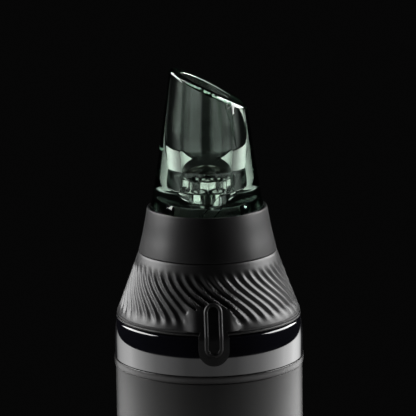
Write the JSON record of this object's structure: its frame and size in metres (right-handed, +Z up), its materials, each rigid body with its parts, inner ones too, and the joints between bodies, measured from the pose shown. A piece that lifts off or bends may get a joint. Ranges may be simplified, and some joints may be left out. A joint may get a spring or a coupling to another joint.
{
  "type": "nose hair trimmer",
  "caption": "Slim hand-held rotary hair trimmer: metal battery tube, ribbed twist switch with a pointer tongue, tapered collar and a clear slant-mouthed cap.",
  "frame": {"origin": "centre of the flat underside of the foot, on the tube's axis", "axes": "+Z up the tube towards the clear cap's mouth; -Y to the front, where the switch tongue points down; +X to the right seen from the front, the low side of the slanted mouth"},
  "size_m": [0.0304, 0.0316, 0.1418],
  "materials": {
    "satin_tube": "satin, fine turned grain",
    "trim_metal": "satin",
    "gloss_band": "polished",
    "soft_black": "matte, softly grained",
    "index_dark": "fine brushed",
    "clear_cap": "clear, polished, faint green",
    "satin_steel": "turned, satin",
    "blade_steel": "polished",
    "seal_rubber": "matte",
    "contact_metal": "plated",
    "spring_steel": "drawn wire",
    "cell_wrap": "smooth wrap",
    "inner_plastic": "moulded",
    "motor_steel": "zinc plated",
    "bronze": "sintered",
    "magnet": "ferrite",
    "copper_wire": "enamelled wire",
    "cam_plastic": "moulded, natural"
  },
  "bodies": {
    "handle": {"body_tube": "satin_tube", "battery_sleeve": "inner_plastic", "negative_strip": "contact_metal", "positive_contact": "contact_metal", "bulkhead": "inner_plastic", "motor_can": "motor_steel", "motor_bush": "bronze", "motor_end_bell": "inner_plastic", "motor_magnets": "magnet", "motor_brushes": "bronze", "motor_mount": "inner_plastic", "neck_frame": "inner_plastic", "neck_screws": "blade_steel", "trim_ring": "trim_metal", "gloss_band": "gloss_band", "stop_pin": "blade_steel", "detent_guide": "cam_plastic", "detent_ball": "blade_steel", "detent_spring": "spring_steel", "switch_leaves": "contact_metal"},
    "rotor": {"motor_shaft": "blade_steel", "commutator": "bronze", "armature": "motor_steel", "windings": "copper_wire", "drive_coupling": "cam_plastic"},
    "switch_ring": {"grip_cone": "soft_black", "index_insert": "index_dark", "switch_cam": "cam_plastic"},
    "head": {"head_base": "satin_steel", "collar": "soft_black", "cutter_guard": "blade_steel", "drive_bush": "bronze"},
    "cutter": {"drive_shaft": "blade_steel", "rotary_cutter": "blade_steel", "cutter_spring": "spring_steel"},
    "cap_ring": {"cap_seal": "seal_rubber"},
    "cap": {"clear_cap": "clear_cap", "centring_crown": "blade_steel"},
    "tail_ring": {"tail_seal": "seal_rubber"},
    "tail": {"tail_cap": "soft_black", "tail_contact": "contact_metal", "tail_spring": "spring_steel"},
    "cell": {"battery_cell": "cell_wrap"}
  },
  "joints": [
    {"name": "switch_twist", "type": "hinge", "parent": "handle", "child": "switch_ring", "pos_m": [0, 0, 0.107], "axis": [0, 0, 1], "range_deg": [0, 40]},
    {"name": "motor_spin", "type": "hinge", "parent": "handle", "child": "rotor", "pos_m": [0, 0, 0.08], "axis": [0, 0, 1], "continuous": true},
    {"name": "head_pull", "type": "slide", "parent": "handle", "child": "head", "axis": [0, 0, 1], "range_m": [0, 0.022]},
    {"name": "cutter_spin", "type": "hinge", "parent": "head", "child": "cutter", "pos_m": [0, 0, 0.115], "axis": [0, 0, 1], "continuous": true},
    {"name": "cap_pull", "type": "slide", "parent": "head", "child": "cap_ring", "axis": [0, 0, 1], "range_m": [0, 0.03]},
    {"name": "cap_turn", "type": "hinge", "parent": "cap_ring", "child": "cap", "pos_m": [0, 0, 0.117], "axis": [0, 0, 1], "continuous": true},
    {"name": "tail_pull", "type": "slide", "parent": "handle", "child": "tail_ring", "axis": [0, 0, -1], "range_m": [0, 0.06]},
    {"name": "tail_turn", "type": "hinge", "parent": "tail_ring", "child": "tail", "pos_m": [0, 0, 0.006], "axis": [0, 0, -1], "continuous": true},
    {"name": "cell_slide", "type": "slide", "parent": "handle", "child": "cell", "axis": [0, 0, -1], "range_m": [0, 0.03]}
  ],
  "couplings": [
    {"joint": "cutter_spin", "follows": "motor_spin", "ratio": 1},
    {"joint": "cell_slide", "follows": "tail_pull", "ratio": 0.5}
  ]
}
